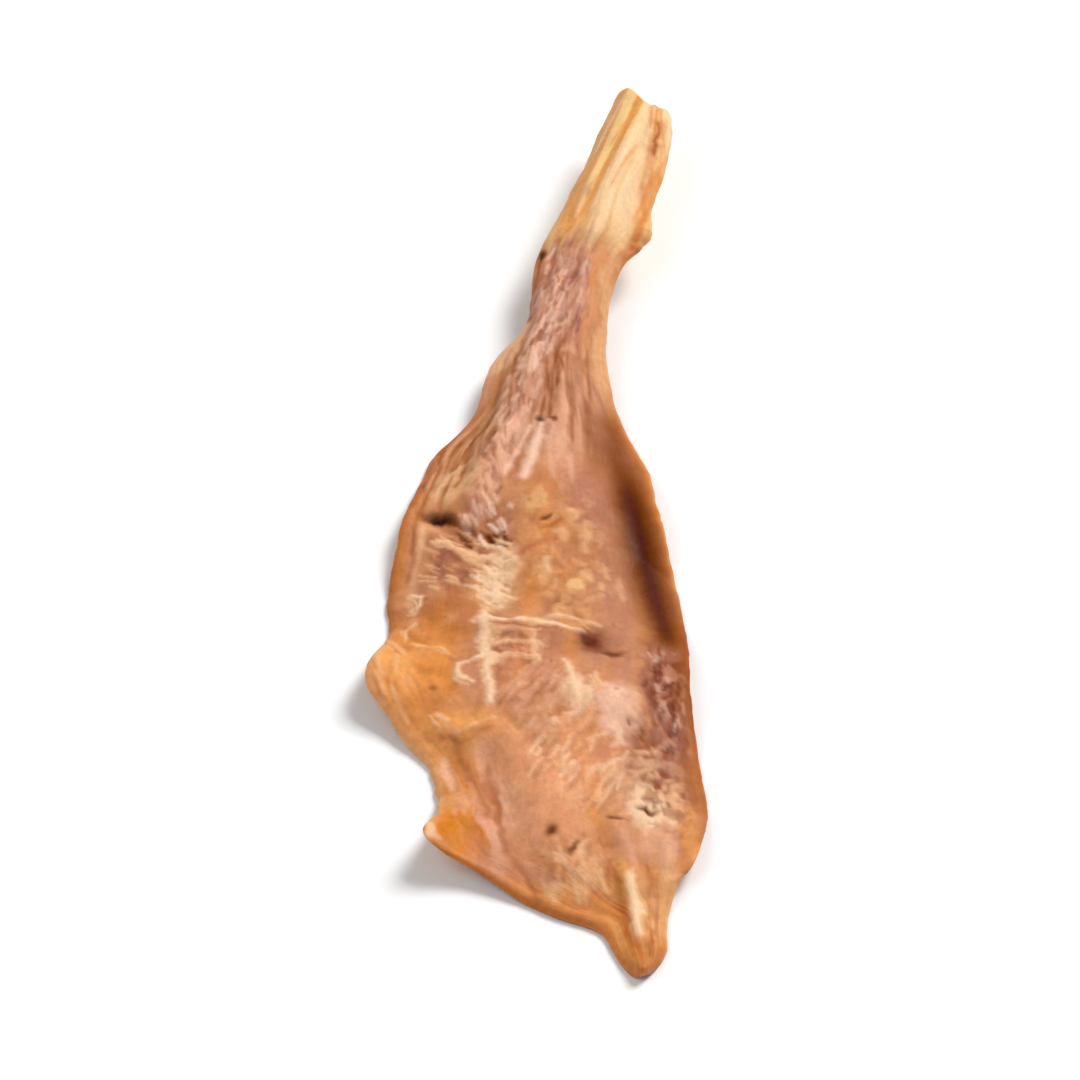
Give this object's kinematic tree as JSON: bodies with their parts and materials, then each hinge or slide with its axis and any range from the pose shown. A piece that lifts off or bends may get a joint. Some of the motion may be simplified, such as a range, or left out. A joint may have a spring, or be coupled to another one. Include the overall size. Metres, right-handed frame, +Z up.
{
  "type": "beef tendon",
  "caption": "Dried beef tendon chew: a flat cord, cut at one end, that fans out into a thin, wavy amber blade with a blunt tip.",
  "frame": {"origin": "on the surface that the strip lies on, under the middle of its box", "axes": "+Y along the strip towards the cut end of the cord, +X to its right, +Z up"},
  "size_m": [0.0339, 0.1205, 0.0097],
  "materials": {
    "dried_tendon": "dried, half glossy, amber to red-brown with cream strands"
  },
  "bodies": {
    "root": {"tendon": "dried_tendon"}
  },
  "joints": []
}
